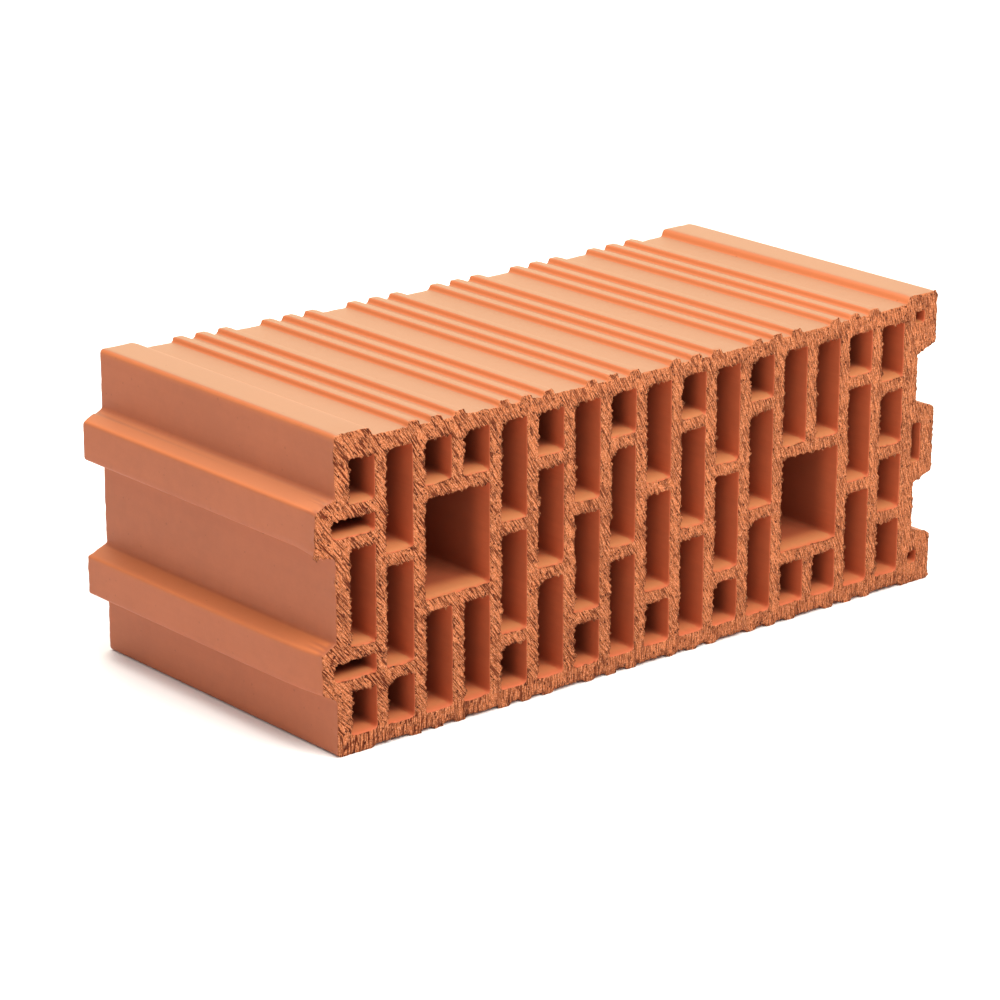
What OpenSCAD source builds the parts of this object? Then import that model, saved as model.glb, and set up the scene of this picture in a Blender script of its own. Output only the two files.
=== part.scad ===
// Hollow clay block for walls, with tongue and groove heads, fired in one piece.
// It lies on a plaster face, as it comes off the drying rack. The section stands in the XZ plane,
// and the chambers run along Y, the way the clay leaves the die.

/* [Block] */
// Length along the wall, between the two head faces
length = 500; // [420:1:620]
// Thickness of the wall, upright as the block lies
thickness = 200; // [175:1:260]
// Height of the course, along the chambers
height = 238; // [120:1:260]
// Rounding of the four long edges
edge_r = 3; // [1:0.5:5]

/* [Walls and webs] */
// Clay between a plaster face and the chambers
face_wall = 11; // [8:0.5:16]
// Clay between the tongue head and the chambers behind it
tongue_wall = 10; // [7:0.5:15]
// Clay between the groove floors and the last chambers
groove_wall = 13; // [8:0.5:18]
// Web between two columns of chambers
web = 8.4; // [6:0.2:12]
// Web between two chambers of one column
cross_web = 9; // [6:0.5:13]
// Web beside the chambers behind the tongues
tongue_web = 7.5; // [6:0.5:12]

/* [Chambers] */
// Columns of chambers, not counting the one behind the tongues
columns = 15; // [11:1:19]
// Height of the small chambers, which bond the rows like brickwork
small_h = 27; // [18:0.5:36]
// Width of the chambers behind the tongues
tongue_chamber_w = 19.5; // [14:0.5:26]
// Rounding of the chambers' corners
chamber_r = 2; // [0.5:0.5:4]

/* [Tongues and grooves] */
// Distance between the centres of the two tongues
tongue_spacing = 88.5; // [78:0.5:98]
// How far the tongues stand out
tongue_depth = 14.5; // [8:0.5:18]
// Height of a tongue at its root
tongue_root = 37; // [30:0.5:44]
// Height of a tongue at its tip
tongue_tip = 25; // [16:0.5:29]
// Clearance above and below a tongue in its groove
side_gap = 3.5; // [1:0.5:5]
// Clearance behind the tip of a tongue in its groove
end_gap = 2.5; // [1:0.5:6]
// Height of the slot inside each tongue
slot_h = 10.5; // [6:0.5:14]
// Clay between a slot and the tip of its tongue
slot_wall = 11; // [6:0.5:16]
// Rounding of the edges of tongues and grooves
head_r = 2.5; // [0.5:0.5:5]

/* [Cores of the groove head] */
// Web between the last chambers and the small cores beside the grooves
core_web = 10; // [7:0.5:12]
// Width of the cores
core_w = 8.5; // [6:0.5:11]
// Height of the cores in the two outer lands
core_h = 8; // [5:0.5:11]
// Clay above and below the core of the middle land
core_wall = 9; // [6:0.5:14]
// How far the outer cores sit above the middle of their lands
core_lift = 2.5; // [0:0.5:5]

/* [Plaster keys] */
// Width of the smooth land beside each head
land_w = 27; // [18:1:38]
// Depth of the keyed face below its lands
key_depth = 5; // [2.5:0.5:8]
// Depth of the face that the soft block was laid on, which is pressed flatter
pressed_depth = 2.5; // [1:0.5:6]
// How far the ridges stay below the lands on the face that is not pressed
ridge_drop = 1.6; // [0:0.1:2]
// How far that face sinks between its lands as the clay dries
face_hollow = 2.4; // [0:0.2:4]
// Run of the slope from a land down to the keyed face
land_slope = 2.5; // [1:0.5:6]
// Rounding of a land above that slope
land_r = 5; // [0.5:0.5:6]
// Ridges in each group
ridges = 3; // [1:1:4]
// Spacing of the ridges in a group
ridge_pitch = 17.5; // [14:0.1:20]
// Spacing of the groups
group_pitch = 69.5; // [66:0.5:100]
// Width of a ridge at its foot
ridge_foot = 9.5; // [8:0.5:12]
// Width of a ridge at its top
ridge_top = 6.5; // [3:0.5:7.5]
// Rounding of the ridges and of the foot of each slope
key_r = 2; // [0.5:0.5:4]

/* [Hidden] */

// Flat steps in each rounded corner, and the most of a side that one rounding may take
arc_steps = 4;
side_share = 0.48;

// Room for the chambers between the plaster faces
chamber_bottom = pressed_depth + face_wall;
chamber_top = thickness - key_depth - face_wall;
chamber_rise = chamber_top - chamber_bottom;

// Tongues, level with the middle of the chambers, and the grooves that take them
tongue_zs = [for (side = [-1, 1]) (chamber_bottom + chamber_top + side * tongue_spacing) / 2];
groove_depth = tongue_depth + end_gap;
groove_mouth = tongue_root + 2 * side_gap;
groove_floor = tongue_tip + 2 * side_gap;

// Columns of chambers
tongue_chamber_end = tongue_wall + tongue_chamber_w;
first_column = tongue_chamber_end + tongue_web;
last_chamber_end = length - groove_depth - groove_wall;
chamber_w = (last_chamber_end - first_column - (columns - 1) * web) / columns;

// Heights of the chambers in a column, from the bottom up
tall_h = (chamber_rise - small_h - 2 * cross_web) / 2;
quarter_h = (chamber_rise - 3 * cross_web) / 4;
small_below = [small_h, tall_h, tall_h];
small_above = [tall_h, tall_h, small_h];
quarters = [quarter_h, quarter_h, quarter_h, quarter_h];
middle_row = 1;

// Columns that share a grip hole, counted from the end of the block
grip_from = 1;
grip_to = 2;
last_mixed = columns - 2;

// Ridges of a plaster face
key_groups = floor((length - 2 * land_w) / group_pitch);
ridge_xs = [
    for (group = [0 : key_groups - 1], ridge = [0 : ridges - 1])
        length / 2
        + (group - (key_groups - 1) / 2) * group_pitch
        + (ridge - (ridges - 1) / 2) * ridge_pitch
];

// Corners are [x, z, radius]. Each becomes an arc that leaves room for the arcs beside it.
function place(corner) = [corner.x, corner.y];
function unit(v) = v / norm(v);
function corner_arc(before, corner, after) =
    let (
        back = place(before) - place(corner),
        ahead = place(after) - place(corner),
        half_angle = acos(unit(back) * unit(ahead)) / 2,
        room = side_share * min(norm(back), norm(ahead)),
        radius = min(corner.z, room * tan(half_angle)),
        centre = place(corner) + unit(unit(back) + unit(ahead)) * radius / sin(half_angle),
        first = place(corner) + unit(back) * radius / tan(half_angle) - centre,
        start = atan2(first.y, first.x),
        turn = sign(cross(ahead, back)) * (180 - 2 * half_angle)
    )
    [for (i = [0 : arc_steps]) let (a = start + turn * i / arc_steps) centre + radius * [cos(a), sin(a)]];
function rounded(corners) =
    let (n = len(corners))
    [for (i = [0 : n - 1]) each corner_arc(corners[(i + n - 1) % n], corners[i], corners[(i + 1) % n])];

// One plaster face from head to head: [x, depth below the lands, radius]
function ridge(x, depth, drop) = [
    [x - ridge_foot / 2, depth, key_r],
    [x - ridge_top / 2, drop, key_r],
    [x + ridge_top / 2, drop, key_r],
    [x + ridge_foot / 2, depth, key_r],
];
function plaster_face(depth, drop) = [
    [0, 0, edge_r],
    [land_w - land_slope / 2, 0, land_r],
    [land_w + land_slope / 2, depth, key_r],
    for (x = ridge_xs) each ridge(x, depth, drop),
    [length - land_w - land_slope / 2, depth, key_r],
    [length - land_w + land_slope / 2, 0, land_r],
    [length, 0, edge_r],
];

// One head: a tongue or groove at each z reaches towards -x from the plane of the head
function head_face(x, reach, wide, narrow, zs, way) = [
    for (z = zs) each [
        [x, z - way * wide / 2, head_r],
        [x - reach, z - way * narrow / 2, head_r],
        [x - reach, z + way * narrow / 2, head_r],
        [x, z + way * wide / 2, head_r],
    ]
];

// Share of the hollow at x, from none on the lands to all of it half-way
function bow(x) = max(0, 1 - pow((2 * x - length) / (length - 2 * land_w), 2));

// The outline runs over the top, down the groove head, back underneath and up the tongue head
top_face = [
    for (p = plaster_face(key_depth, ridge_drop))
        [p.x, thickness - p.y - face_hollow * bow(p.x), p.z]
];
bottom_face = plaster_face(pressed_depth, 0);
outline = concat(
    top_face,
    head_face(length, groove_depth, groove_mouth, groove_floor, reverse(tongue_zs), -1),
    reverse(bottom_face),
    head_face(0, tongue_depth, tongue_root, tongue_tip, tongue_zs, 1)
);
function reverse(list) = [for (i = [len(list) - 1 : -1 : 0]) list[i]];

// Where a column stands, and what it holds
function column_x(i) = first_column + i * (chamber_w + web);
function from_end(i) = last_mixed - i;
function in_grip(i) = i >= grip_from && i <= grip_to;
function column_heights(i) =
    i > last_mixed ? quarters
    : i == 0 || in_grip(from_end(i)) ? small_below
    : from_end(i) == 0 || in_grip(i) || i % 2 == 0 ? small_above
    : small_below;
function sum_before(list, n) = n == 0 ? 0 : list[n - 1] + sum_before(list, n - 1);
function row_z(heights, row) = chamber_bottom + sum_before(heights, row) + row * cross_web;

module chamber(x_from, x_to, z_from, z_to, r_from = chamber_r) {
    polygon(rounded([
        [x_from, z_from, r_from],
        [x_to, z_from, chamber_r],
        [x_to, z_to, chamber_r],
        [x_from, z_to, r_from],
    ]));
}

module column(i) {
    heights = column_heights(i);
    gripped = in_grip(i) || in_grip(from_end(i));
    for (row = [0 : len(heights) - 1])
        if (!(gripped && row == middle_row)) {
            z = row_z(heights, row);
            chamber(column_x(i), column_x(i) + chamber_w, z, z + heights[row]);
        }
}

// A grip hole takes the middle chambers of two columns and the web between them
module grip_hole(i_from, i_to) {
    heights = column_heights(i_from);
    z = row_z(heights, middle_row);
    chamber(column_x(i_from), column_x(i_to) + chamber_w, z, z + heights[middle_row]);
}

// Chambers behind the tongue head, with a slot that reaches into each tongue
module tongue_chambers() {
    below = concat([chamber_bottom], [for (z = tongue_zs) z + slot_h / 2 + cross_web]);
    above = concat([for (z = tongue_zs) z - slot_h / 2 - cross_web], [chamber_top]);
    for (i = [0 : len(below) - 1])
        chamber(tongue_wall, tongue_chamber_end, below[i], above[i]);
    for (z = tongue_zs)
        chamber(slot_wall - tongue_depth, tongue_chamber_end, z - slot_h / 2, z + slot_h / 2, slot_h / 2);
}

// Small cores that lighten the three lands of the groove head
module land_cores() {
    x = last_chamber_end + core_web;
    lands = concat([0], [for (z = tongue_zs) z + groove_mouth / 2]);
    land_tops = concat([for (z = tongue_zs) z - groove_mouth / 2], [thickness]);
    last = len(lands) - 1;
    for (i = [0 : last]) {
        outer = i == 0 || i == last;
        z = (lands[i] + land_tops[i]) / 2 + (outer ? core_lift : 0);
        h = outer ? core_h : land_tops[i] - lands[i] - 2 * core_wall;
        chamber(x, x + core_w, z - h / 2, z + h / 2);
    }
}

module section() {
    difference() {
        polygon(rounded(outline));
        tongue_chambers();
        for (i = [0 : columns - 1]) column(i);
        grip_hole(grip_from, grip_to);
        grip_hole(last_mixed - grip_to, last_mixed - grip_from);
        land_cores();
    }
}

module brick() {
    color([0.84, 0.49, 0.31])
        translate([(tongue_depth - length) / 2, 0, 0])
            rotate([90, 0, 0])
                linear_extrude(height, center = true)
                    section();
}

brick();
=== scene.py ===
"""Dresses a hollow clay wall block with torn cut faces, drawn skin and smooth chamber walls.

Sizes are in metres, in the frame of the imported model: X runs along the wall, Y along the
chambers and Z up through the thickness of the wall.
"""
import math
from collections import namedtuple

import bmesh
import bpy
from bmesh.types import BMEdge, BMFace, BMVert
from bpy.props import FloatProperty, FloatVectorProperty, PointerProperty
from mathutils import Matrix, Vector, kdtree, noise


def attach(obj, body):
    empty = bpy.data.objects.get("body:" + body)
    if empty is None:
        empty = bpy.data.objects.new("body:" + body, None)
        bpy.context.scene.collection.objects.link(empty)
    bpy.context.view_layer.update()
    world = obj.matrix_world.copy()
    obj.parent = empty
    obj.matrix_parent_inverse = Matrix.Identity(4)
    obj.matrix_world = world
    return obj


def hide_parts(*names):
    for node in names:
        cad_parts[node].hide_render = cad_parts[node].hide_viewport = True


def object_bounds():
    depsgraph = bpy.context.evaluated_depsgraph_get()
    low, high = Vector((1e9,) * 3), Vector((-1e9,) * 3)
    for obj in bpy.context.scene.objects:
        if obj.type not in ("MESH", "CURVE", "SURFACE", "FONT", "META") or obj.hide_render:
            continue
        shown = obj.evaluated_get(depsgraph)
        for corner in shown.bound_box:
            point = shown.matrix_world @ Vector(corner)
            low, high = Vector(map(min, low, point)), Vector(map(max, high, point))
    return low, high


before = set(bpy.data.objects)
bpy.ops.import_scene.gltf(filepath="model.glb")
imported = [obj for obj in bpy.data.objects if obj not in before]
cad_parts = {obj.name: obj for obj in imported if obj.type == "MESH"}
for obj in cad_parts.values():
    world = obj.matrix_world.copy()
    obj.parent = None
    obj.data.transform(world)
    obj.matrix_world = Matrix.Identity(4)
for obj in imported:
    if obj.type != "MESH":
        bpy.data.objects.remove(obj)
CAD_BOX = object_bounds()

bl_info = {
    "name": "Hollow Clay Block",
    "version": (1, 0, 0),
    "blender": (4, 5, 0),
    "location": "View3D > Sidebar > Clay Block",
    "description": "Dresses a hollow clay wall block and sets up its studio",
    "category": "Object",
}

MM = 0.001
# Points closer than this are one point
SAME = 1e-6

# The way that the wire went through both cut faces, down and towards the groove head
WIRE_WAY = Vector((0.72, 0, -0.69)).normalized()

# Attributes of the block's points that its materials read: how much painted top light, a paler tone,
# lies there, how much light a slope gets from the clay beside it, and how narrow the chamber is
PAINTED_TOP_LIGHT = "dust"
SLOPE = "slope"
NARROW = "narrow"

# Order of the materials on the block
SKIN, CUT, CHAMBER = 0, 1, 2


class ClayBlockCut(bpy.types.PropertyGroup):
    """How the wire tore the two cut faces"""

    rim_step: FloatProperty(
        name="Rim Step", description="Spacing of points along a torn rim",
        default=0.8 * MM, unit="LENGTH")
    lip_step: FloatProperty(
        name="Lip Step", description="Spacing of points along a rim where the wire went in",
        default=2.4 * MM, unit="LENGTH")
    face_step: FloatProperty(
        name="Face Step", description="Longest edge inside a cut face",
        default=4.4 * MM, unit="LENGTH")
    tear_depth: FloatProperty(
        name="Tear Depth", description="Height of the torn relief",
        default=0.8 * MM, unit="LENGTH")
    burr_reach: FloatProperty(
        name="Burr Reach", description="How far torn clay hangs over a rim where the wire came out",
        default=1.9 * MM, unit="LENGTH")
    corner_fill: FloatProperty(
        name="Corner Fill", description="How far torn clay fills the corner that the wire left last",
        default=3.4 * MM, unit="LENGTH")
    corner_width: FloatProperty(
        name="Corner Width", description="How far from that corner the filling reaches",
        default=8 * MM, unit="LENGTH")
    tongue_press: FloatProperty(
        name="Tongue Press", description="How far the near end of the lower tongue is pressed in",
        default=4 * MM, unit="LENGTH")
    corner_pull: FloatProperty(
        name="Corner Pull", description="How far a corner of the upper tongue is pulled out",
        default=2.2 * MM, unit="LENGTH")
    lip_drop: FloatProperty(
        name="Lip Drop", description="How far a rim is dragged back where the wire went in",
        default=2.0 * MM, unit="LENGTH")
    lip_length: FloatProperty(
        name="Lip Length", description="How far a dragged rim reaches into a chamber",
        default=6 * MM, unit="LENGTH")
    rim_width: FloatProperty(
        name="Rim Width", description="How far a rim's shape reaches into the cut face",
        default=3.5 * MM, unit="LENGTH")
    drag_centre: FloatVectorProperty(
        name="Drag Centre", description="Point in X and Z that the drag marks run towards",
        default=(491 * MM, -774 * MM), size=2, unit="LENGTH")
    drag_radius: FloatProperty(
        name="Drag Radius",
        description="Distance from that point at which the marks have their true width",
        default=1.0, unit="LENGTH")
    straight_band: FloatProperty(
        name="Straight Band", description="Height below which the drag marks run straight down",
        default=14 * MM, unit="LENGTH")


class ClayBlockColours(bpy.types.PropertyGroup):
    """Colours of the fired clay"""

    skin: FloatVectorProperty(
        name="Skin", description="Drawn skin of the outside",
        default=(0.40, 0.105, 0.038), size=3, subtype="COLOR")
    cut: FloatVectorProperty(
        name="Cut", description="Torn clay of the cut faces",
        default=(0.59, 0.173, 0.064), size=3, subtype="COLOR")
    # Painted shade in the grooves that the wire dragged, darker than the cut clay
    groove: FloatVectorProperty(
        name="Groove", description="Grooves that the wire dragged through the clay",
        default=(0.14, 0.024, 0.008), size=3, subtype="COLOR")
    # Painted shade in the pores and slits of the torn clay
    deep: FloatVectorProperty(
        name="Deep", description="Pores and slits of the torn clay",
        default=(0.09, 0.018, 0.009), size=3, subtype="COLOR")
    chamber: FloatVectorProperty(
        name="Chamber", description="Walls of the chambers",
        default=(0.56, 0.118, 0.041), size=3, subtype="COLOR")
    warm: FloatVectorProperty(
        name="Warm", description="Drawn clay on slopes, in the light from the clay beside it",
        default=(0.60, 0.168, 0.046), size=3, subtype="COLOR")
    # Painted highlight on the raised tops of the crumbs of the torn clay
    crumb_highlight: FloatVectorProperty(
        name="Crumb Highlight", description="Pale crumbs on the torn clay",
        default=(0.80, 0.31, 0.15), size=3, subtype="COLOR")
    # Painted light: a paler tone on the chamber floors near the cut faces, where the light from the
    # front reaches in
    mouth: FloatVectorProperty(
        name="Mouth", description="Dust on the floors of the chambers, near the cut faces",
        default=(0.50, 0.25, 0.09), size=3, subtype="COLOR")
    # Painted top light: a paler, less red tone on what faces up, where the light from above falls
    dust: FloatVectorProperty(
        name="Painted Top Light", description="Clay dust on what faces up",
        default=(0.32, 0.172, 0.0914), size=3, subtype="COLOR")


class ClayBlockStudio(bpy.types.PropertyGroup):
    """Camera, floor and light"""

    lens: FloatProperty(
        name="Lens", description="Focal length on a 36 mm sensor", default=134.75)
    azimuth: FloatProperty(
        name="Azimuth", description="Where the camera stands, from the near cut face round to +X",
        default=math.radians(-40.03), subtype="ANGLE")
    elevation: FloatProperty(
        name="Elevation", description="How far the camera stands above the horizon",
        default=math.radians(18.28), subtype="ANGLE")
    distance: FloatProperty(
        name="Distance", description="From the camera to the point that it looks at",
        default=2.4182, unit="LENGTH")
    aim: FloatVectorProperty(
        name="Aim", description="Point that the camera looks at",
        default=(-14.6 * MM, 4.2 * MM, 81.4 * MM), size=3, subtype="XYZ", unit="LENGTH")
    floor: FloatVectorProperty(
        name="Floor", description="Colour of the floor",
        default=(0.93, 0.93, 0.93), size=3, subtype="COLOR")
    sky: FloatProperty(
        name="Sky", description="Strength of the light from all round", default=0.54)
    lamps: FloatProperty(
        name="Lamps", description="Power of the front lamp, which the others follow",
        default=56, unit="POWER")


# Geometry of the block

def keep_near_face(bm):
    """Leaves only the near cut face, with its outline and the mouths of its chambers."""
    near = min(v.co.y for v in bm.verts)
    others = [f for f in bm.faces if max(v.co.y for v in f.verts) > near + SAME]
    bmesh.ops.delete(bm, geom=others, context="FACES")


def drag(x, z, cut):
    """Distances along and across the wire's marks at a point of a cut face."""
    bent = max(z, cut.straight_band)
    from_centre = Vector((x - cut.drag_centre[0], bent - cut.drag_centre[1]))
    return from_centre.length + z - bent, math.atan2(from_centre.x, from_centre.y) * cut.drag_radius


def into_air(edge):
    """Direction in the cut face from the clay beside a rim's edge into the air."""
    middle = (edge.verts[0].co + edge.verts[1].co) / 2
    along = (edge.verts[1].co - edge.verts[0].co).normalized()
    across = along.cross(Vector((0, 1, 0)))
    return -across if across.dot(edge.link_faces[0].calc_center_median() - middle) > 0 else across


def split_edges(bm, steps):
    """Divides each edge into equal lengths no longer than its step."""
    by_cuts = {}
    for edge, step in steps.items():
        by_cuts.setdefault(math.ceil(edge.calc_length() / step) - 1, []).append(edge)
    for cuts, edges in by_cuts.items():
        if cuts:
            bmesh.ops.subdivide_edges(bm, edges=edges, cuts=cuts)


# Rounds that divide a cut face and then even out its points, and how far each of these moves them
SPLIT_ROUNDS = 5
RELAX_ROUNDS = 3
RELAX_SHARE = 0.5


def divide_face(bm, cut):
    """Divides the cut face into small triangles, finest along the rims that tear."""
    split_edges(bm, {e: cut.lip_step for e in bm.edges if e.is_boundary})
    for _ in range(SPLIT_ROUNDS):
        long = [e for e in bm.edges if not e.is_boundary and e.calc_length() > cut.face_step]
        bmesh.ops.subdivide_edges(bm, edges=long, cuts=1)
        bmesh.ops.triangulate(bm, faces=[f for f in bm.faces if len(f.verts) > 3])
        inner = [e for e in bm.edges if not e.is_boundary]
        bmesh.ops.beautify_fill(bm, faces=bm.faces, edges=inner, method="ANGLE")
    inner = [v for v in bm.verts if not v.is_boundary]
    for _ in range(RELAX_ROUNDS):
        bmesh.ops.smooth_vert(bm, verts=inner, factor=RELAX_SHARE, use_axis_x=True, use_axis_z=True)
    torn = [e for e in bm.edges if e.is_boundary and into_air(e).dot(WIRE_WAY) > 0]
    split_edges(bm, {e: cut.rim_step for e in torn})
    bmesh.ops.triangulate(bm, faces=[f for f in bm.faces if len(f.verts) > 3])


def rim_loops(rims):
    """Parts the edges of the rims into closed loops."""
    left = set(rims)
    loops = []
    while left:
        loop, ahead = [], [left.pop()]
        while ahead:
            edge = ahead.pop()
            loop.append(edge)
            beside = {e for v in edge.verts for e in v.link_edges} & left
            left -= beside
            ahead += beside
        loops.append(loop)
    return loops


def point_tree(verts):
    """A search tree over these points."""
    tree = kdtree.KDTree(len(verts))
    for i, v in enumerate(verts):
        tree.insert(v.co, i)
    tree.balance()
    return tree


# Rounds that turn the direction of a rim gradually through its corners
TURN_ROUNDS = 3
# How squarely a rim faces the wire's way in the corner that the wire left last
LAST_CORNER = 0.97
# Lengths of the rims round a narrow and a wide chamber. A rim past the longest is the block's outline.
NARROW_MOUTH = 60 * MM
WIDE_MOUTH = 120 * MM
LONGEST_MOUTH = 500 * MM


def mark_rims(bm, cut):
    """Stores at each point which way its rim faces, how near the last corner is and what is outside."""
    air = bm.verts.layers.float_vector.new("air")
    corner = bm.verts.layers.float.new("corner")
    outside = bm.verts.layers.int.new("outside")
    narrow = bm.verts.layers.float.new(NARROW)
    rims = [e for e in bm.edges if e.is_boundary]
    for edge in rims:
        for v in edge.verts:
            v[air] = v[air] + into_air(edge)
    rim_verts = [v for v in bm.verts if v.is_boundary]
    for _ in range(TURN_ROUNDS):
        turned = []
        for v in rim_verts:
            beside = [e.other_vert(v)[air] for e in v.link_edges if e.is_boundary]
            turned.append(sum(beside, v[air]).normalized())
        for v, direction in zip(rim_verts, turned):
            v[air] = direction
    for loop in rim_loops(rims):
        length = math.fsum(e.calc_length() for e in loop)
        for v in {v for e in loop for v in e.verts}:
            v[outside] = length > LONGEST_MOUTH
            v[narrow] = max(0, min(1, (WIDE_MOUTH - length) / (WIDE_MOUTH - NARROW_MOUTH)))
    mouth_verts = [v for v in rim_verts if not v[outside]]
    rim_tree = point_tree(rim_verts)
    corner_tree = point_tree([v for v in mouth_verts if v[air].dot(WIRE_WAY) > LAST_CORNER])
    for v in bm.verts:
        v[corner] = max(0, 1 - corner_tree.find(v.co)[2] / cut.corner_width) ** 2
        if not v.is_boundary:
            _, i, distance = rim_tree.find(v.co)
            v[air] = rim_verts[i][air] * max(0, 1 - distance / cut.rim_width) ** 2
    return air, corner, outside


def only(kind, geom):
    """The elements of one kind among those that an operator made."""
    return [g for g in geom if isinstance(g, kind)]


# Depths of the rings of points behind each cut face, and of those that only the near end's outside has
RINGS = (1.2 * MM, 5.5 * MM)
SKIN_RINGS = (20 * MM, 45 * MM, 80 * MM)


def draw_walls(bm, outside):
    """Draws the rims back along the chambers and closes the far end with a copy of the near face."""
    length = CAD_BOX[1].y - CAD_BOX[0].y
    plate = list(bm.faces)
    for f in plate:
        f.material_index = CUT
    far = bmesh.ops.duplicate(bm, geom=bm.verts[:] + bm.edges[:] + plate)["geom"]
    bmesh.ops.translate(bm, verts=only(BMVert, far), vec=(0, length, 0))
    bmesh.ops.reverse_faces(bm, faces=only(BMFace, far))
    near = CAD_BOX[0].y
    ring = [e for e in bm.edges if e.is_boundary and abs(e.verts[0].co.y - near) < SAME]
    depths = [0, *RINGS, *(length - d for d in reversed(RINGS)), length]
    for before, after in zip(depths, depths[1:]):
        made = bmesh.ops.extrude_edge_only(bm, edges=ring)["geom"]
        bmesh.ops.translate(bm, verts=only(BMVert, made), vec=(0, after - before, 0))
        moved = set(only(BMVert, made))
        ring = [e for e in only(BMEdge, made) if moved.issuperset(e.verts)]
        for f in only(BMFace, made):
            f.material_index = SKIN if f.verts[0][outside] else CHAMBER
    bmesh.ops.remove_doubles(bm, verts=bm.verts, dist=SAME)
    for depth in SKIN_RINGS:
        faces = [f for f in bm.faces if f.material_index == SKIN]
        geom = dict.fromkeys(g for f in faces for g in (f, *f.edges, *f.verts))
        bmesh.ops.bisect_plane(
            bm, geom=list(geom), dist=SAME, plane_co=(0, near + depth, 0), plane_no=(0, 1, 0))


# Sizes of the streaks, lumps and pits in the torn clay, and how strongly each shows in its relief
STREAK = Vector((14 * MM, 3.6 * MM))
LUMP = 6.5 * MM
PIT = 4.2 * MM
STREAK_SHARE = 0.6
LUMP_SHARE = 0.5
PIT_SHARE = 1.8
# How strong the noise has to be before a pit opens, and a shift that parts it from the lumps' noise
PIT_FLOOR = 0.22
PIT_SHIFT = Vector((7, 3, 5))


def torn_relief(place, along, across, side):
    """Height of the torn clay at a point of a cut face, about -1 to 1."""
    streak = noise.noise(Vector((along / STREAK.x, across / STREAK.y, side)))
    lump = noise.noise(place / LUMP)
    pit = max(0, noise.noise(place / PIT + PIT_SHIFT) - PIT_FLOOR)
    return STREAK_SHARE * streak + LUMP_SHARE * lump - PIT_SHARE * pit


# Size of the crumbs along a rim, how many fine ones take the place of one, and how far each kind reaches
CRUMB = 2.4 * MM
FINE_CRUMBS = 2.1
CRUMB_REACH = 2.4
FINE_REACH = 1.0
# How far the nicks between them cut in
NICK_DEPTH = 0.5


def crumbs(place):
    """Rounded crumbs with sharp nicks between them along a torn rim, about -0.5 to 1.5."""
    coarse = CRUMB_REACH * abs(noise.noise(place / CRUMB))
    fine = FINE_REACH * abs(noise.noise(place / CRUMB * FINE_CRUMBS))
    return coarse + fine - NICK_DEPTH


# Size of the patches that tear more or less, and how much: the least, the mean and the swing round it
PATCH = 22 * MM
PATCH_LEAST = 0.2
PATCH_MEAN = 0.7
PATCH_SWING = 1.2
# Share of a patch in the burr on its rims, and the depth over which a burr fades behind the cut face
PATCH_BURR = 0.4
BURR_FADE = 1.5 * MM
# How full the last corners are, the swing round it, and a shift that parts it from the patches' noise
FILL_MEAN = 0.35
FILL_SWING = 1.8
FILL_SHIFT = Vector((3, 9, 1))
# Power that keeps the dragged lips to the rims that face up
LIP_POWER = 3
# Share of the lips and burrs on the block's outline, and on the small cores of the groove head
OUTSIDE_LIP = 0.3
OUTSIDE_BURR = 0.45
CORE_BURR = 0.35
# Where the tongues' slots end and those cores begin
SLOTS_TO = -238 * MM
CORES_FROM = 234 * MM


def tear(bm, air, corner, outside, cut):
    """Shapes both ends as the wire left them: relief, hanging burrs, filled corners and dragged lips."""
    low, high = CAD_BOX[0].y, CAD_BOX[1].y
    for v in bm.verts:
        place = v.co.copy()
        depth = min(place.y - low, high - place.y)
        if depth > cut.lip_length:
            continue
        side = -1 if place.y < 0 else 1
        out = v[air]
        leaving = out.dot(WIRE_WAY)
        fade = math.exp(-depth / BURR_FADE)
        patch = max(PATCH_LEAST, PATCH_MEAN + PATCH_SWING * noise.noise(place / PATCH))
        if v[outside]:
            reach = OUTSIDE_BURR * crumbs(place) if side < 0 else 0
            lip = OUTSIDE_LIP * cut.lip_drop
        else:
            reach = PATCH_BURR * patch + crumbs(place)
            lip = cut.lip_drop
        if place.x > CORES_FROM and not v[outside]:
            reach *= CORE_BURR
            lip *= CORE_BURR
        if leaving > 0:
            v.co += out * cut.burr_reach * leaving * reach * fade
        elif v[outside]:
            v.co += out * cut.burr_reach * reach * fade
        v.co -= out * lip * max(0, out.z) ** LIP_POWER * (1 - depth / cut.lip_length) ** 2
        if leaving > 0 and SLOTS_TO < place.x < CORES_FROM:
            fill = max(0, FILL_MEAN + FILL_SWING * noise.noise(place / PATCH + FILL_SHIFT))
            v.co += WIRE_WAY * cut.corner_fill * v[corner] * fill * fade
        if depth < SAME:
            v.co.y += side * cut.tear_depth * torn_relief(place, *drag(place.x, place.z, cut), side)
        v.co.z = max(v.co.z, CAD_BOX[0].z)


# How far the tongues stand out, the height that parts the lower from the upper, and where the press ends
TONGUE_DEPTH = 14.5 * MM
TONGUE_PARTING = 98 * MM
PRESS_FADE = 16 * MM
# Corner of the upper tongue that the wire pulled out, how far round it the clay bulges, and which way
PULLED_CORNER = Vector((-257 * MM, -119 * MM, 131 * MM))
PULLED_WIDTH = 14 * MM
PULLED_WAY = Vector((-0.4, 0, -0.9))


def knock_tongues(bm, cut):
    """Presses in the near end of the lower tongue and pulls out a corner of the upper one."""
    low = CAD_BOX[0]
    for v in bm.verts:
        proud = 1 - (v.co.x - low.x) / TONGUE_DEPTH
        if proud > 0 and v.co.z < TONGUE_PARTING:
            v.co.x += cut.tongue_press * proud * math.exp(-max(0, v.co.y - low.y) / PRESS_FADE)
        near = max(0, 1 - (v.co - PULLED_CORNER).length / PULLED_WIDTH)
        v.co += PULLED_WAY * cut.corner_pull * near * (1 + crumbs(v.co))


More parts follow.
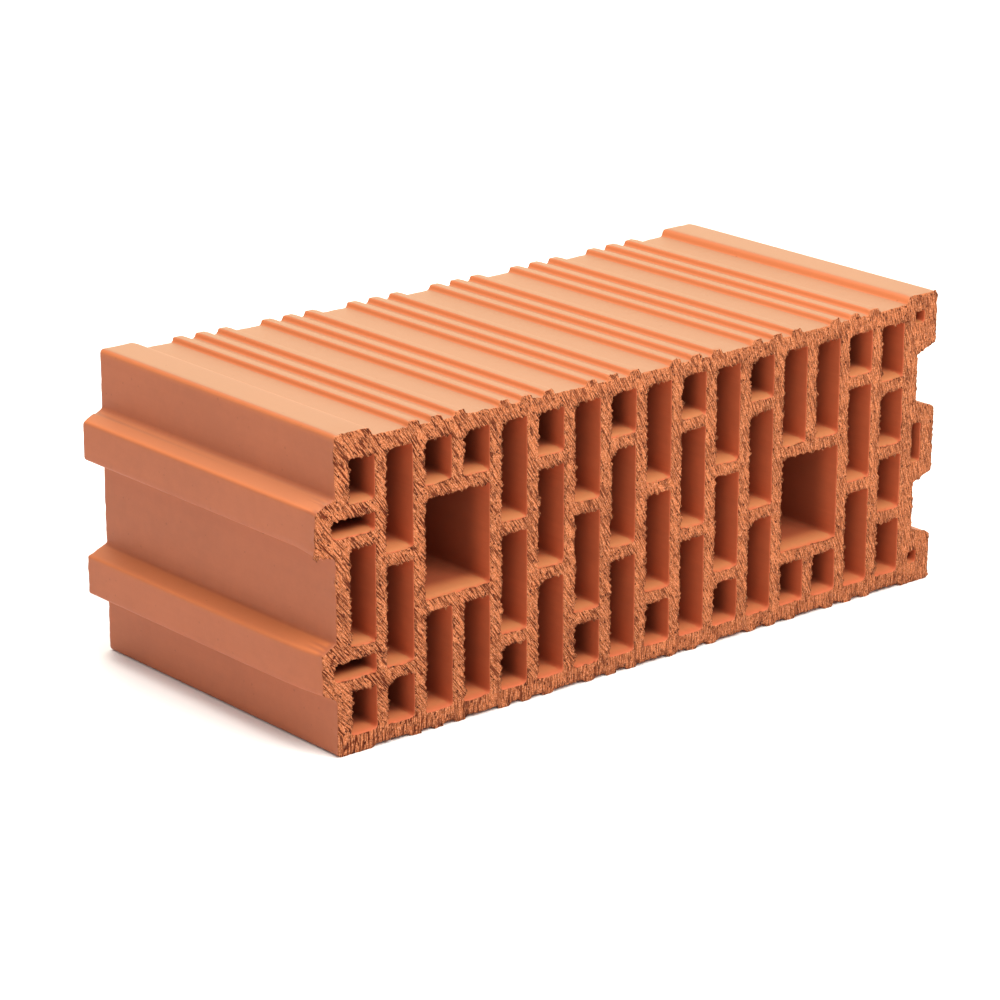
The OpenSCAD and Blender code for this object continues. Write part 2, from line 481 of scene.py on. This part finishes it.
# Share of the painted top light at the floor, the height over which it grows to its full share, and the
# power that keeps it off slopes
TOP_LIGHT_LOW = 0.16
TOP_LIGHT_RISE = 260 * MM
TOP_LIGHT_POWER = 12
# How far down the ridges of the top reach, and the light on a slope there, most half-way to upright
RIDGE_DEPTH = 12 * MM
RIDGE_LIGHT = 3.2
# How fast that light rises from the level below the ridges, and the turn of a crease, which gets none
SLOPE_RISE = 8
CREASE_TURN = -0.05


def mark_painted_light(bm):
    """Stores how much painted top light lies on each point, and how much light it gets from the clay
    beside it.
    """
    dust = bm.verts.layers.float.new(PAINTED_TOP_LIGHT)
    slope = bm.verts.layers.float.new(SLOPE)
    for v in bm.verts:
        up = max(0, v.normal.z)
        v[dust] = up ** TOP_LIGHT_POWER * min(1, TOP_LIGHT_LOW + v.co.z / TOP_LIGHT_RISE)
        turn = min(e.calc_face_angle_signed(0) for e in v.link_edges)
        if v.co.z > CAD_BOX[1].z - RIDGE_DEPTH:
            v[slope] = RIDGE_LIGHT * up * (1 - up)
        elif turn > CREASE_TURN:
            v[slope] = up * min(1, SLOPE_RISE * (1 - up))


def build_block(cut):
    """The block's mesh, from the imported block's near cut face."""
    bm = bmesh.new()
    bm.from_mesh(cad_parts["brick"].data)
    bmesh.ops.remove_doubles(bm, verts=bm.verts, dist=SAME)
    keep_near_face(bm)
    divide_face(bm, cut)
    air, corner, outside = mark_rims(bm, cut)
    draw_walls(bm, outside)
    tear(bm, air, corner, outside, cut)
    knock_tongues(bm, cut)
    bmesh.ops.recalc_face_normals(bm, faces=bm.faces)
    bm.normal_update()
    mark_painted_light(bm)
    for f in bm.faces:
        f.smooth = True
    mesh = bpy.data.meshes.new("clay_block")
    bm.to_mesh(mesh)
    bm.free()
    return mesh


# Materials

class Graph:
    """Adds nodes to a tree and joins their sockets."""

    def __init__(self, tree):
        self.tree = tree

    def add(self, kind, inputs=None, **settings):
        """A new node whose inputs are given as values or as sockets of other nodes."""
        node = self.tree.nodes.new(kind)
        for name, value in settings.items():
            setattr(node, name, value)
        for name, value in (inputs or {}).items():
            if isinstance(value, bpy.types.NodeSocket):
                self.tree.links.new(value, node.inputs[name])
            else:
                node.inputs[name].default_value = value
        return node

    def math(self, operation, a, b=0.0):
        """The result of an operation on one or two values."""
        return self.add("ShaderNodeMath", {0: a, 1: b}, operation=operation).outputs[0]

    def noise(self, vector, scale, detail=2.0, roughness=0.5):
        """Cloudy noise, about 0 to 1, with this many features to a metre."""
        inputs = {"Vector": vector, "Scale": scale, "Detail": detail, "Roughness": roughness}
        return self.add("ShaderNodeTexNoise", inputs).outputs["Fac"]

    def stretch(self, vector, scale):
        """Coordinates times a factor for each axis."""
        return self.add("ShaderNodeVectorMath", {0: vector, 1: scale}, operation="MULTIPLY").outputs[0]

    def ramp(self, value, start, end, low=0.0, high=1.0):
        """A smooth step from low to high as the value goes from start to end."""
        inputs = {"Value": value, "From Min": start, "From Max": end, "To Min": low, "To Max": high}
        return self.add("ShaderNodeMapRange", inputs, interpolation_type="SMOOTHSTEP").outputs[0]

    def blend(self, share, a, b):
        """A share of one value and the rest of another."""
        return self.math("ADD", self.math("MULTIPLY", a, share), self.math("MULTIPLY", b, 1 - share))

    def mix(self, share, a, b):
        """The first colour, with a share of the second mixed in."""
        return self.add("ShaderNodeMix", {0: share, 6: a, 7: b}, data_type="RGBA").outputs[2]

    def group(self, tree, inputs):
        """What a node group puts out for these inputs."""
        return self.add("ShaderNodeGroup", inputs, node_tree=tree).outputs[0]

    def attribute(self, name):
        """A value that the mesh stores at its points."""
        return self.add("ShaderNodeAttribute", attribute_name=name).outputs["Fac"]


def new_group(name, inputs, outputs):
    """An empty shader node group with these sockets, its graph, its input node and its output node."""
    tree = bpy.data.node_groups.new(name, "ShaderNodeTree")
    for socket, kind in inputs.items():
        tree.interface.new_socket(socket, in_out="INPUT", socket_type=kind)
    for socket, kind in outputs.items():
        tree.interface.new_socket(socket, in_out="OUTPUT", socket_type=kind)
    graph = Graph(tree)
    return tree, graph, graph.add("NodeGroupInput").outputs, graph.add("NodeGroupOutput").inputs


def shade(colour, factor=1.0):
    """A colour with each part times a factor, and full alpha."""
    return (*(min(1.0, c * factor) for c in colour), 1.0)


# Least size of a pore to its mean, how fine its ragged edge is, and where that edge runs
PORE_LEAST = 0.5
PORE_RAG = 2.5
PORE_EDGE = (1.5, 1.0)


def pores_group():
    """Small ragged pits, 1 inside and 0 between them."""
    tree, g, given, made = new_group(
        "clay_pores",
        {"Vector": "NodeSocketVector", "Density": "NodeSocketFloat",
         "Share": "NodeSocketFloat", "Size": "NodeSocketFloat"},
        {"Pores": "NodeSocketFloat"})
    cells = g.add("ShaderNodeTexVoronoi", {"Vector": given["Vector"], "Scale": given["Density"]})
    chance = g.add("ShaderNodeSeparateColor", {"Color": cells.outputs["Color"]})
    chosen = g.math("LESS_THAN", chance.outputs["Red"], given["Share"])
    size = g.math("MULTIPLY", given["Size"], g.math("ADD", chance.outputs["Green"], PORE_LEAST))
    ragged = g.noise(given["Vector"], g.math("MULTIPLY", given["Density"], PORE_RAG), detail=1)
    edge = g.math("ADD", g.math("DIVIDE", cells.outputs["Distance"], size), ragged)
    inside = g.ramp(edge, *PORE_EDGE)
    g.tree.links.new(g.math("MULTIPLY", inside, chosen), made["Pores"])
    return tree


# Patches of colour to a metre, the share of the broad ones, and where the dark tone turns into the light
BROAD_PATCHES = 9
FINE_PATCHES = 130
BROAD_PATCH_SHARE = 0.65
MOTTLE_EDGE = (0.35, 0.65)


def mottle_group():
    """Clay colour with soft patches, from a darker to a lighter tone."""
    tree, g, given, made = new_group(
        "clay_mottle",
        {"Vector": "NodeSocketVector", "Dark": "NodeSocketColor", "Light": "NodeSocketColor"},
        {"Colour": "NodeSocketColor"})
    broad = g.noise(given["Vector"], BROAD_PATCHES, detail=3)
    fine = g.noise(given["Vector"], FINE_PATCHES, detail=3, roughness=0.6)
    share = g.ramp(g.blend(BROAD_PATCH_SHARE, broad, fine), *MOTTLE_EDGE)
    g.tree.links.new(g.mix(share, given["Dark"], given["Light"]), made["Colour"])
    return tree


# Lines that the die drew, to a metre along each axis, and the share of the broad ones
BROAD_LINES = (180, 2.5, 180)
FINE_LINES = (900, 9, 900)
BROAD_LINE_SHARE = 0.6


def streaks_group():
    """Fine lines that the die drew along the block, about 0 to 1."""
    tree, g, given, made = new_group(
        "die_streaks",
        {"Vector": "NodeSocketVector"},
        {"Streaks": "NodeSocketFloat"})
    broad = g.noise(g.stretch(given["Vector"], BROAD_LINES), 1)
    fine = g.noise(g.stretch(given["Vector"], FINE_LINES), 1)
    g.tree.links.new(g.blend(BROAD_LINE_SHARE, broad, fine), made["Streaks"])
    return tree


def new_material(name):
    """A material with a bare shader, its graph, that shader and its Object coordinates."""
    material = bpy.data.materials.new(name)
    material.use_nodes = True
    graph = Graph(material.node_tree)
    shader = material.node_tree.nodes["Principled BSDF"]
    place = graph.add("ShaderNodeTexCoord").outputs["Object"]
    return material, graph, shader, place


# Roughness of drawn clay, its painted shade deep inside, the share of warm light on its slopes, and for
# its
# painted top light: the most that lies, how much of the attribute reaches that, and what is left deep
# inside
DrawnLook = namedtuple("DrawnLook", "roughness inner_shade warm_share dust_share dust_full dust_inside")
SKIN_LOOK = DrawnLook(
    roughness=0.6, inner_shade=1.0, warm_share=0.9, dust_share=0.7, dust_full=0.85, dust_inside=1.0)
CHAMBER_LOOK = DrawnLook(
    roughness=0.7, inner_shade=0.52, warm_share=0.0, dust_share=0.5, dust_full=0.3, dust_inside=0.0)
# Depths between which the clay goes from the colour at the cut faces to its painted inner shade
SHADE_START = 0.5 * MM
SHADE_END = 28 * MM
# In the narrowest chambers, the depth at which it gets there, and the share of that painted shade that
# is left
NARROW_END = 14 * MM
NARROW_SHADE = 0.3
# How far in the painted top light fades, as a share of the way to the painted inner shade
TOP_LIGHT_END = 0.9
# Tones of the patches and of the die's lines, where these lines show, and how strongly
DRAWN_DARK = 0.94
DRAWN_LIGHT = 1.05
LINE_TONE = 0.72
LINE_EDGE = (0.38, 0.62)
LINE_SHARE = 0.08
# Dark specks, their tone, and how strongly they show
SPECKS = {"Density": 210.0, "Share": 0.06, "Size": 0.14}
SPECK_TONE = 0.4
SPECK_SHARE = 0.3
# Grains to a metre, the share of the die's lines beside them in the relief, and its strength and depth
GRAINS = 1500
LINE_RELIEF = 0.4
DRAWN_BUMP = 0.2
DRAWN_RELIEF = 0.25 * MM
# Strength of the highlights
DRAWN_GLOSS = 0.4


def drawn_clay(name, colour, dust, warm, groups, look):
    """Clay that slid along the die: smooth, with fine lines, soft patches and a few dark specks.

    It goes to a painted inner shade as it runs in from the cut faces, and a paler painted top light lies
    on what faces up."""
    material, g, shader, place = new_material(name)
    tones = {"Dark": shade(colour, DRAWN_DARK), "Light": shade(colour, DRAWN_LIGHT)}
    mottle = g.group(groups["mottle"], {"Vector": place, **tones})
    streaks = g.group(groups["streaks"], {"Vector": place})
    specks = g.group(groups["pores"], {"Vector": place, **SPECKS})

    # Painted shade: the colour darkens deeper into the chambers, and sooner in the narrow ones
    mouth = CAD_BOX[1].y
    from_middle = g.math("ABSOLUTE", g.add("ShaderNodeSeparateXYZ", {0: place}).outputs["Y"])
    narrow = g.attribute(NARROW)
    shade_end = g.ramp(narrow, 0.0, 1.0, mouth - SHADE_END, mouth - NARROW_END)
    inside = g.ramp(from_middle, mouth - SHADE_START, shade_end)
    inner = g.ramp(narrow, 0.0, 1.0, look.inner_shade, look.inner_shade * NARROW_SHADE)
    fading = g.ramp(inside, 0.0, 1.0, 1.0, inner)
    toned = g.add("ShaderNodeVectorMath", {0: mottle, 3: fading}, operation="SCALE").outputs[0]

    line = g.ramp(streaks, *LINE_EDGE, 0.0, LINE_SHARE)
    lined = g.mix(line, toned, shade(colour, LINE_TONE * look.inner_shade))
    warmed = g.mix(g.math("MULTIPLY", g.attribute(SLOPE), look.warm_share), lined, shade(warm))
    # Painted top light: a paler tone where the skin and the chamber floors face up, fading deeper in
    left = g.ramp(inside, 0.0, TOP_LIGHT_END, 1.0, look.dust_inside)
    top_lit_share = g.ramp(g.attribute(PAINTED_TOP_LIGHT), 0.0, look.dust_full, 0.0, look.dust_share)
    top_lit = g.mix(g.math("MULTIPLY", top_lit_share, left), warmed, shade(dust))
    tint = g.mix(g.math("MULTIPLY", specks, SPECK_SHARE), top_lit, shade(colour, SPECK_TONE))

    raised = g.blend(LINE_RELIEF, streaks, g.noise(place, GRAINS, detail=3, roughness=0.6))
    height = g.math("SUBTRACT", raised, specks)
    bump = g.add("ShaderNodeBump", {"Strength": DRAWN_BUMP, "Distance": DRAWN_RELIEF, "Height": height})
    shader.inputs["Roughness"].default_value = look.roughness
    shader.inputs["Specular IOR Level"].default_value = DRAWN_GLOSS
    g.tree.links.new(tint, shader.inputs["Base Color"])
    g.tree.links.new(bump.outputs[0], shader.inputs["Normal"])
    return material


# Marks of the wire, to a metre along them, across them and into the clay: stripes, slits and lines
STRIPES = (60, 950, 160)
SLITS = (240, 1400, 300)
WIRE_LINES = (45, 600, 150)
# Where stripes and slits open, and how far from the middle of its noise a line runs
STRIPE_EDGE = (0.43, 0.36)
SLIT_EDGE = (0.41, 0.31)
WIRE_LINE_EDGE = (0.04, 0.018)
# Bends of the marks to a metre, and how far they go to the side
WAVERS = 90
WAVER_REACH = 1 * MM
# Share of the marks that is left towards the groove head, and how far along that half of the block
# it is reached
FRESH_LEAST = 0.7
FRESH_END = 0.3
# Patches with weaker marks to a metre, where they begin and end, and the share of the marks in them
WEAK_PATCHES = 60
WEAK_EDGE = (0.3, 0.55)
WEAK_SHARE = 0.6
# Pores, how they stretch along the marks, and how dark the painted shade in a slit is beside them
PORES = {"Density": 680.0, "Share": 0.45, "Size": 0.3}
PORE_STRETCH = (0.5, 1.0, 0.8)
SLIT_SHARE = 0.7
# Tones of the patches, and of the painted shade in the gaps between the crumbs
TORN_DARK = 0.88
TORN_LIGHT = 1.1
GAP_TONE = 0.5
# Crumbs to a metre, where the painted shade in the gaps between them and the painted highlights on their
# tops begin and end, and how strongly these show
CRUMBS = 1050
GAP_EDGE = (0.48, 0.34)
GAP_SHARE = 0.7
TOP_EDGE = (0.50, 0.60)
TOP_SHARE = 0.9
# Depth of the relief, and the share of pores and slits beside lines in what is sunk
TORN_RELIEF = 1.3 * MM
DARK_RELIEF = 0.6
# Roughness of torn clay, and the strength of its highlights
TORN_ROUGHNESS = 0.9
TORN_GLOSS = 0.12


def along_marks(g, place, cut):
    """Coordinates along the wire's marks, across them and into the clay, with a slight waver."""
    part = g.add("ShaderNodeSeparateXYZ", {0: place}).outputs
    x = g.math("SUBTRACT", part["X"], cut.drag_centre[0])
    bent = g.math("MAXIMUM", part["Z"], cut.straight_band)
    z = g.math("SUBTRACT", bent, cut.drag_centre[1])
    across = g.math("MULTIPLY", g.math("ARCTAN2", x, z), cut.drag_radius)
    from_centre = g.add("ShaderNodeCombineXYZ", {"X": x, "Z": z}).outputs[0]
    distance = g.add("ShaderNodeVectorMath", {0: from_centre}, operation="LENGTH").outputs["Value"]
    along = g.math("ADD", distance, g.math("SUBTRACT", part["Z"], bent))
    wavered = g.math("ADD", across, g.math("MULTIPLY", g.noise(place, WAVERS), WAVER_REACH))
    return g.add("ShaderNodeCombineXYZ", {"X": along, "Y": wavered, "Z": part["Y"]}).outputs[0]


def torn_clay(name, colours, groups, cut):
    """Clay that the wire tore: striped along the wire's way, grainy and full of pores, with painted
    shade in its sunk marks and painted highlights on its crumbs.
    """
    material, g, shader, place = new_material(name)
    dragged = along_marks(g, place, cut)
    stripes = g.noise(g.stretch(dragged, STRIPES), 1, detail=1, roughness=0.6)
    slits = g.noise(g.stretch(dragged, SLITS), 1, detail=1)
    level = g.noise(g.stretch(dragged, WIRE_LINES), 1, detail=1, roughness=0.6)
    from_level = g.math("ABSOLUTE", g.math("SUBTRACT", level, 0.5))
    lines = g.ramp(from_level, *WIRE_LINE_EDGE)

    x = g.add("ShaderNodeSeparateXYZ", {0: place}).outputs["X"]
    fresh = g.ramp(x, CAD_BOX[0].x, FRESH_END * CAD_BOX[1].x, 1.0, FRESH_LEAST)
    weak = g.ramp(g.noise(place, WEAK_PATCHES), *WEAK_EDGE, WEAK_SHARE, 1.0)
    marks = g.math("MAXIMUM", lines, g.ramp(stripes, *STRIPE_EDGE))
    grooves = g.math("MULTIPLY", marks, g.math("MULTIPLY", weak, fresh))
    pores = g.group(groups["pores"], {"Vector": g.stretch(dragged, PORE_STRETCH), **PORES})
    dark = g.math("MAXIMUM", g.math("MULTIPLY", g.ramp(slits, *SLIT_EDGE), SLIT_SHARE), pores)

    tones = {"Dark": shade(colours.cut, TORN_DARK), "Light": shade(colours.cut, TORN_LIGHT)}
    mottle = g.group(groups["mottle"], {"Vector": place, **tones})
    grains = g.noise(place, CRUMBS, detail=2, roughness=0.8)
    # Painted shade in the gaps between the crumbs, and painted highlights on their raised tops
    crumbled = g.mix(g.ramp(grains, *GAP_EDGE, 0.0, GAP_SHARE), mottle, shade(colours.cut, GAP_TONE))
    topped = g.mix(g.ramp(grains, *TOP_EDGE, 0.0, TOP_SHARE), crumbled, shade(colours.crumb_highlight))
    # Painted shade in the sunk grooves and lines
    grooved = g.mix(grooves, topped, shade(colours.groove))
    # Painted shade in the pores and slits
    tint = g.mix(dark, grooved, shade(colours.deep))

    raised = g.math("ADD", g.math("MULTIPLY", stripes, fresh), grains)
    height = g.math("SUBTRACT", raised, g.blend(DARK_RELIEF, dark, lines))
    bump = g.add("ShaderNodeBump", {"Strength": 1.0, "Distance": TORN_RELIEF, "Height": height})
    shader.inputs["Roughness"].default_value = TORN_ROUGHNESS
    shader.inputs["Specular IOR Level"].default_value = TORN_GLOSS
    g.tree.links.new(tint, shader.inputs["Base Color"])
    g.tree.links.new(bump.outputs[0], shader.inputs["Normal"])
    return material


# Patches of the floor to a metre, the tone of the darkest, its roughness and its highlights' strength
FLOOR_PATCHES = 3
FLOOR_DARK = 0.995
FLOOR_ROUGHNESS = 0.8
FLOOR_GLOSS = 0.1


def plain_floor(colour):
    """A matt floor with a faint unevenness."""
    material, g, shader, place = new_material("studio_floor")
    uneven = g.noise(place, FLOOR_PATCHES)
    tint = g.mix(uneven, shade(colour, FLOOR_DARK), shade(colour))
    g.tree.links.new(tint, shader.inputs["Base Color"])
    shader.inputs["Roughness"].default_value = FLOOR_ROUGHNESS
    shader.inputs["Specular IOR Level"].default_value = FLOOR_GLOSS
    return material


class OBJECT_OT_clay_block(bpy.types.Operator):
    """Build the fired clay block"""

    bl_idname = "object.clay_block"
    bl_label = "Fired Clay Block"

    def execute(self, context):
        cut, colours = context.scene.clay_block_cut, context.scene.clay_block_colours
        groups = {"pores": pores_group(), "mottle": mottle_group(), "streaks": streaks_group()}
        mesh = build_block(cut)
        skin = drawn_clay("drawn_skin", colours.skin, colours.dust, colours.warm, groups, SKIN_LOOK)
        torn = torn_clay("wire_cut_clay", colours, groups, cut)
        # The chambers take the mouth colour as their painted top light, paler on the floors near the cut
        # faces
        walls = drawn_clay(
            "chamber_walls", colours.chamber, colours.mouth, colours.warm, groups, CHAMBER_LOOK)
        for material in (skin, torn, walls):
            mesh.materials.append(material)
        block = bpy.data.objects.new("clay_block", mesh)
        context.scene.collection.objects.link(block)
        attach(block, "root")
        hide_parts("brick")
        return {"FINISHED"}


# Side of the square floor
FLOOR_SIDE = 14.0
# Width of the camera's sensor in millimetres
SENSOR_WIDTH = 36
# Where each lamp stands, its side, its share of the power and its colour
LAMPS = {
    "front_lamp": (Vector((0.1, -1.8, 2.1)), 1.6, 1.2, (1.0, 1.0, 0.94)),
    "top_lamp": (Vector((-0.2, 0.2, 2.2)), 1.8, 0.92, (1.0, 0.98, 0.92)),
    "back_lamp": (Vector((1.8, 2.1, 1.0)), 2.6, 0.9, (1.0, 0.92, 0.6)),
}


class OBJECT_OT_clay_studio(bpy.types.Operator):
    """Set up the floor, the light and the camera"""

    bl_idname = "object.clay_studio"
    bl_label = "Studio"

    def execute(self, context):
        scene, studio = context.scene, context.scene.clay_block_studio
        bm = bmesh.new()
        bmesh.ops.create_grid(bm, x_segments=1, y_segments=1, size=FLOOR_SIDE / 2)
        mesh = bpy.data.meshes.new("floor")
        bm.to_mesh(mesh)
        bm.free()
        mesh.materials.append(plain_floor(studio.floor))
        floor = bpy.data.objects.new("floor", mesh)
        scene.collection.objects.link(floor)

        for name, (place, side, share, colour) in LAMPS.items():
            lamp = bpy.data.lights.new(name, "AREA")
            lamp.energy = studio.lamps * share
            lamp.color = colour
            lamp.size = side
            stand = bpy.data.objects.new(name, lamp)
            stand.location = place
            stand.rotation_euler = (Vector(studio.aim) - place).to_track_quat("-Z", "Y").to_euler()
            scene.collection.objects.link(stand)

        scene.world = bpy.data.worlds.new("studio")
        scene.world.use_nodes = True
        sky = scene.world.node_tree.nodes["Background"].inputs
        sky["Color"].default_value = (1, 1, 1, 1)
        sky["Strength"].default_value = studio.sky
        scene.view_settings.view_transform = "Standard"

        camera = bpy.data.cameras.new("camera")
        camera.lens = studio.lens
        camera.sensor_width = SENSOR_WIDTH
        view = bpy.data.objects.new("camera", camera)
        flat = math.cos(studio.elevation)
        back = Vector((
            math.sin(studio.azimuth) * flat,
            -math.cos(studio.azimuth) * flat,
            math.sin(studio.elevation)))
        view.location = Vector(studio.aim) + back * studio.distance
        view.rotation_euler = (-back).to_track_quat("-Z", "Y").to_euler()
        scene.collection.objects.link(view)
        scene.camera = view
        return {"FINISHED"}


class VIEW3D_PT_clay_block(bpy.types.Panel):
    """The block's settings in the sidebar of the 3D view"""

    bl_label = "Clay Block"
    bl_space_type = "VIEW_3D"
    bl_region_type = "UI"
    bl_category = "Clay Block"

    def draw(self, context):
        for name, operator in SECTIONS.items():
            box = self.layout.box()
            settings = getattr(context.scene, name)
            for setting in settings.bl_rna.properties.keys():
                if setting not in ("rna_type", "name"):
                    box.prop(settings, setting)
            if operator:
                box.operator(operator)


SECTIONS = {
    "clay_block_cut": None,
    "clay_block_colours": "object.clay_block",
    "clay_block_studio": "object.clay_studio",
}
GROUPS = {
    "clay_block_cut": ClayBlockCut,
    "clay_block_colours": ClayBlockColours,
    "clay_block_studio": ClayBlockStudio,
}
CLASSES = (*GROUPS.values(), OBJECT_OT_clay_block, OBJECT_OT_clay_studio, VIEW3D_PT_clay_block)


def register():
    for cls in CLASSES:
        bpy.utils.register_class(cls)
    for name, cls in GROUPS.items():
        setattr(bpy.types.Scene, name, PointerProperty(type=cls))


def unregister():
    for name in GROUPS:
        delattr(bpy.types.Scene, name)
    for cls in reversed(CLASSES):
        bpy.utils.unregister_class(cls)


def main():
    register()
    bpy.ops.object.clay_block()
    bpy.ops.object.clay_studio()


if __name__ == "__main__":
    main()
